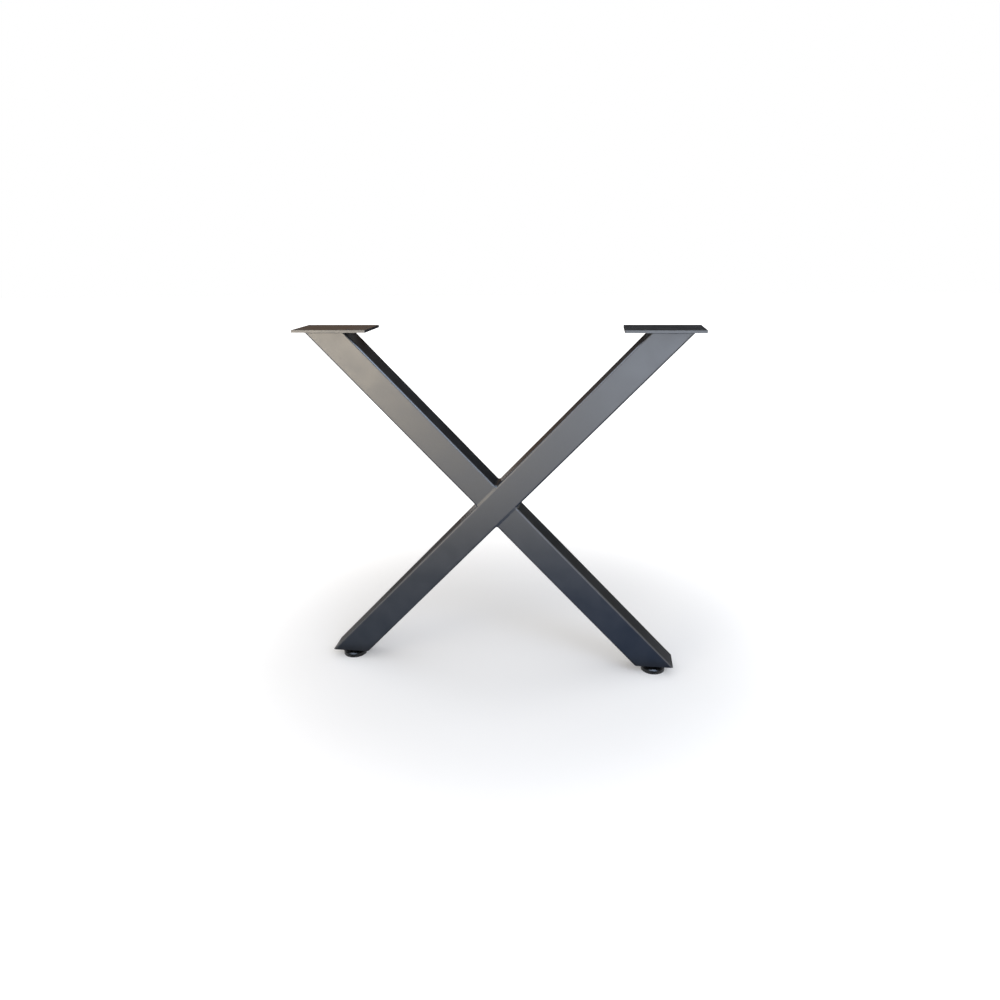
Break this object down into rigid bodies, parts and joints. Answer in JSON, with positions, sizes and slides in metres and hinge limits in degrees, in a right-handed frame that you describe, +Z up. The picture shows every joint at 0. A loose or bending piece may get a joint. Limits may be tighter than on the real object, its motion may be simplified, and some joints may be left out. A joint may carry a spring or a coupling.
{
  "type": "table frame",
  "caption": "Cross-shaped square-tube steel table leg frame with screw plates on the upper ends and round levelling feet under the lower ends, satin black coated.",
  "frame": {"origin": "on the floor, midway between the feet and midway through the depth", "axes": "+X along the frame's width, +Y through its depth away from the viewer, +Z up"},
  "size_m": [0.797, 0.1, 0.741],
  "materials": {
    "coated_steel": "satin black powder coat on welded steel tube and plate",
    "coated_weld": "satin black powder coat over dressed weld beads",
    "zinc_steel": "bright zinc plated steel stud and nut",
    "foot_plastic": "moulded black polypropylene, half gloss"
  },
  "bodies": {
    "frame": {"through_tube": "coated_steel", "upper_arm_tube": "coated_steel", "lower_leg_tube": "coated_steel", "left_top_plate": "coated_steel", "right_top_plate": "coated_steel", "left_end_plate": "coated_steel", "right_end_plate": "coated_steel", "upper_joint_weld": "coated_weld", "lower_joint_weld": "coated_weld", "left_plate_weld": "coated_weld", "right_plate_weld": "coated_weld", "left_weld_nut": "zinc_steel", "right_weld_nut": "zinc_steel"},
    "left_foot": {"left_foot_stud": "zinc_steel", "left_foot_pad": "foot_plastic"},
    "right_foot": {"right_foot_stud": "zinc_steel", "right_foot_pad": "foot_plastic"}
  },
  "joints": [
    {"name": "left_foot_height", "type": "slide", "parent": "frame", "child": "left_foot", "axis": [0, 0, 1], "range_m": [-0.012, 0.0045]},
    {"name": "right_foot_height", "type": "slide", "parent": "frame", "child": "right_foot", "axis": [0, 0, 1], "range_m": [-0.012, 0.0045]}
  ]
}
